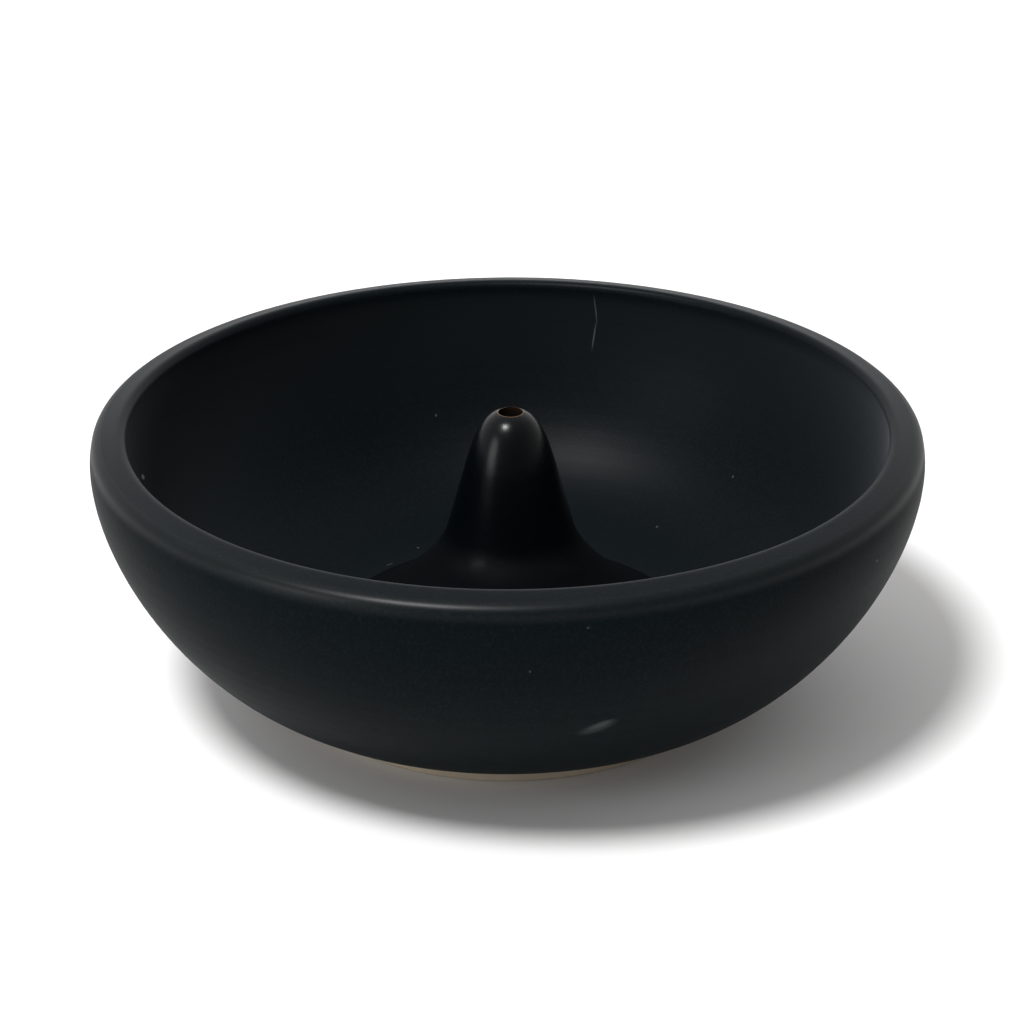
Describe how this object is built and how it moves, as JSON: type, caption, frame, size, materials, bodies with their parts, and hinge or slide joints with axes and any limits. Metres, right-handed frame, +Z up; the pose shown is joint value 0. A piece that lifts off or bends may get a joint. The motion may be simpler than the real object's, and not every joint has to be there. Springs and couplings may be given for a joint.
{
  "type": "incense burner",
  "caption": "Round glazed stoneware bowl with a pierced cone in its middle that holds a stick of incense while the bowl catches the ash.",
  "frame": {"origin": "on the table, under the middle of the foot ring", "axes": "+Z up, along the bowl's axis and out of the stick hole; the bowl is round, so X and Y are free, and the cone stands 0.45 mm off centre towards +X"},
  "size_m": [0.114, 0.114, 0.0412],
  "materials": {
    "stoneware_clay": "matte",
    "cone_glaze": "gloss",
    "inside_glaze": "satin",
    "outside_glaze": "matte"
  },
  "bodies": {
    "root": {"bowl_body": "stoneware_clay", "stick_cone": "stoneware_clay", "cone_coil": "stoneware_clay", "cone_glaze": "cone_glaze", "inside_glaze": "inside_glaze", "outside_glaze": "outside_glaze"}
  },
  "joints": []
}
